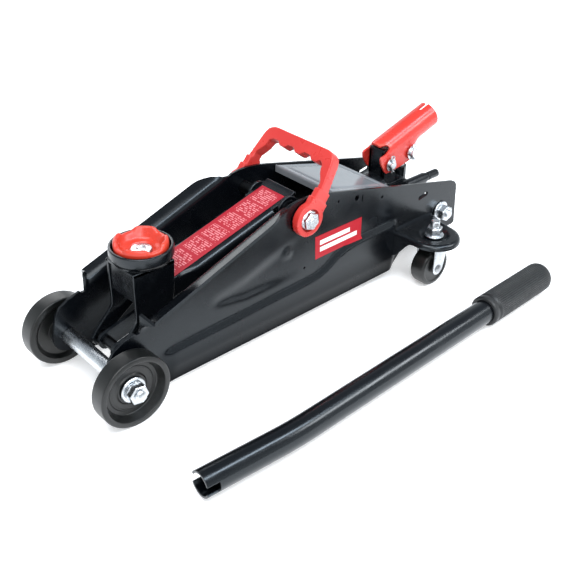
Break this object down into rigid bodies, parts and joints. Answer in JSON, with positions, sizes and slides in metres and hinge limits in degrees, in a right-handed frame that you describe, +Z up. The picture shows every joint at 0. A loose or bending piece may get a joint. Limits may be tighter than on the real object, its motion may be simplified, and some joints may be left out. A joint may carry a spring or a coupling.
{
  "type": "hydraulic floor jack",
  "caption": "Low trolley jack: saddle on a parallel lifting arm, hydraulic ram, rocking handle socket, castors, carry handle, and a loose pump handle beside it.",
  "frame": {"origin": "bottom centre of the bounding box of the jack and the handle beside it, on the floor", "axes": "+X forward along the jack to its front wheels, +Y to its left, where the loose handle lies, +Z up"},
  "size_m": [0.509, 0.3004, 0.1775],
  "materials": {
    "black_paint": "gloss black powder coat",
    "red_paint": "gloss red paint",
    "red_plastic": "moulded red plastic",
    "zinc_plate": "bright zinc plate",
    "bare_steel": "turned and ground steel",
    "black_nylon": "moulded black nylon",
    "grip_rubber": "ribbed black rubber"
  },
  "bodies": {
    "frame": {"side_plate_left": "black_paint", "side_plate_right": "black_paint", "top_cover": "black_paint", "front_axle": "zinc_plate", "axle_washer_left": "zinc_plate", "axle_washer_right": "zinc_plate", "axle_nut_left": "zinc_plate", "axle_nut_right": "zinc_plate", "arm_pivot_shaft": "bare_steel", "pivot_nut_left": "zinc_plate", "pivot_nut_right": "zinc_plate", "link_rear_pin": "bare_steel", "pump_base": "black_paint", "reservoir": "black_paint", "cylinder": "bare_steel", "reservoir_nut": "bare_steel", "filler_plug": "black_nylon", "socket_yoke": "black_paint", "rocker_pin": "zinc_plate", "split_pin": "zinc_plate", "plunger_spring": "zinc_plate", "rear_bolt_left": "zinc_plate", "rear_bolt_right": "zinc_plate"},
    "lift_arm": {"lift_arm": "black_paint", "lever_pin": "bare_steel", "saddle_pin": "bare_steel"},
    "saddle_carrier": {"saddle_carrier": "black_paint", "saddle_collar": "black_paint", "link_front_pin": "bare_steel"},
    "saddle": {"saddle_cup": "red_paint", "saddle_screw": "zinc_plate"},
    "radius_links": {"radius_link_left": "black_paint", "radius_link_right": "black_paint"},
    "ram": {"ram": "bare_steel"},
    "handle_socket": {"handle_socket": "red_paint", "roller_bolt": "zinc_plate"},
    "pump_plunger": {"pump_plunger": "bare_steel"},
    "release_valve": {"release_valve": "black_paint"},
    "carry_handle": {"carry_handle": "red_plastic"},
    "front_wheel_left": {"front_wheel_left": "black_nylon"},
    "front_wheel_right": {"front_wheel_right": "black_nylon"},
    "pump_handle": {"handle_tube": "black_paint", "handle_grip": "grip_rubber"},
    "caster_left": {"caster_fork_left": "zinc_plate", "caster_bearing_left": "bare_steel", "caster_nut_left": "zinc_plate", "caster_rivet_left": "zinc_plate"},
    "caster_wheel_left": {"caster_wheel_left": "black_nylon"},
    "caster_right": {"caster_fork_right": "zinc_plate", "caster_bearing_right": "bare_steel", "caster_nut_right": "zinc_plate", "caster_rivet_right": "zinc_plate"},
    "caster_wheel_right": {"caster_wheel_right": "black_nylon"}
  },
  "joints": [
    {"name": "arm_lift", "type": "hinge", "parent": "frame", "child": "lift_arm", "pos_m": [0.0055, -0.0417, 0.1205], "axis": [0, -1, 0], "range_deg": [0, 68]},
    {"name": "saddle_carrier_pivot", "type": "hinge", "parent": "lift_arm", "child": "saddle_carrier", "pos_m": [0.1595, -0.0417, 0.08], "axis": [0, -1, 0], "range_deg": [-68, 0]},
    {"name": "saddle_turn", "type": "hinge", "parent": "saddle_carrier", "child": "saddle", "pos_m": [0.1603, -0.0417, 0.12], "axis": [0, 0, 1], "continuous": true},
    {"name": "radius_link_pivot", "type": "hinge", "parent": "frame", "child": "radius_links", "pos_m": [0.0455, -0.0417, 0.0785], "axis": [0, -1, 0], "range_deg": [0, 68]},
    {"name": "ram_stroke", "type": "slide", "parent": "frame", "child": "ram", "axis": [1, 0, 0], "range_m": [0, 0.0536]},
    {"name": "socket_pump", "type": "hinge", "parent": "frame", "child": "handle_socket", "pos_m": [-0.1515, -0.0417, 0.1185], "axis": [0, 1, 0], "range_deg": [-8, 48]},
    {"name": "plunger_stroke", "type": "slide", "parent": "frame", "child": "pump_plunger", "axis": [0, 0, 1], "range_m": [-0.0021, 0.0121], "deforming": ["plunger_spring"]},
    {"name": "release_valve_turn", "type": "hinge", "parent": "frame", "child": "release_valve", "pos_m": [-0.2355, -0.0417, 0.0725], "axis": [-1, 0, 0], "range_deg": [0, 360]},
    {"name": "carry_handle_swing", "type": "hinge", "parent": "frame", "child": "carry_handle", "pos_m": [0.0055, -0.0417, 0.1205], "axis": [0, 1, 0], "range_deg": [-16, 50]},
    {"name": "front_wheel_left_roll", "type": "hinge", "parent": "frame", "child": "front_wheel_left", "pos_m": [0.2195, 0.0183, 0.035], "axis": [0, 1, 0], "continuous": true},
    {"name": "front_wheel_right_roll", "type": "hinge", "parent": "frame", "child": "front_wheel_right", "pos_m": [0.2195, -0.1017, 0.035], "axis": [0, 1, 0], "continuous": true},
    {"name": "pump_handle_lift", "type": "slide", "parent": "frame", "child": "pump_handle", "axis": [0, 0, 1], "range_m": [0, 0.3]},
    {"name": "caster_left_swivel", "type": "hinge", "parent": "frame", "child": "caster_left", "pos_m": [-0.1565, 0.0383, 0.06], "axis": [0, 0, 1], "continuous": true},
    {"name": "caster_left_roll", "type": "hinge", "parent": "caster_left", "child": "caster_wheel_left", "pos_m": [-0.1535, 0.0383, 0.0215], "axis": [0, 1, 0], "continuous": true},
    {"name": "caster_right_swivel", "type": "hinge", "parent": "frame", "child": "caster_right", "pos_m": [-0.1565, -0.1217, 0.06], "axis": [0, 0, 1], "continuous": true},
    {"name": "caster_right_roll", "type": "hinge", "parent": "caster_right", "child": "caster_wheel_right", "pos_m": [-0.1535, -0.1217, 0.0215], "axis": [0, 1, 0], "continuous": true}
  ],
  "couplings": [
    {"joint": "saddle_carrier_pivot", "follows": "arm_lift", "ratio": -1},
    {"joint": "radius_link_pivot", "follows": "arm_lift", "ratio": 1},
    {"joint": "ram_stroke", "follows": "arm_lift", "m_per_rad": 0.04516},
    {"joint": "plunger_stroke", "follows": "socket_pump", "m_per_rad": 0.01432}
  ]
}
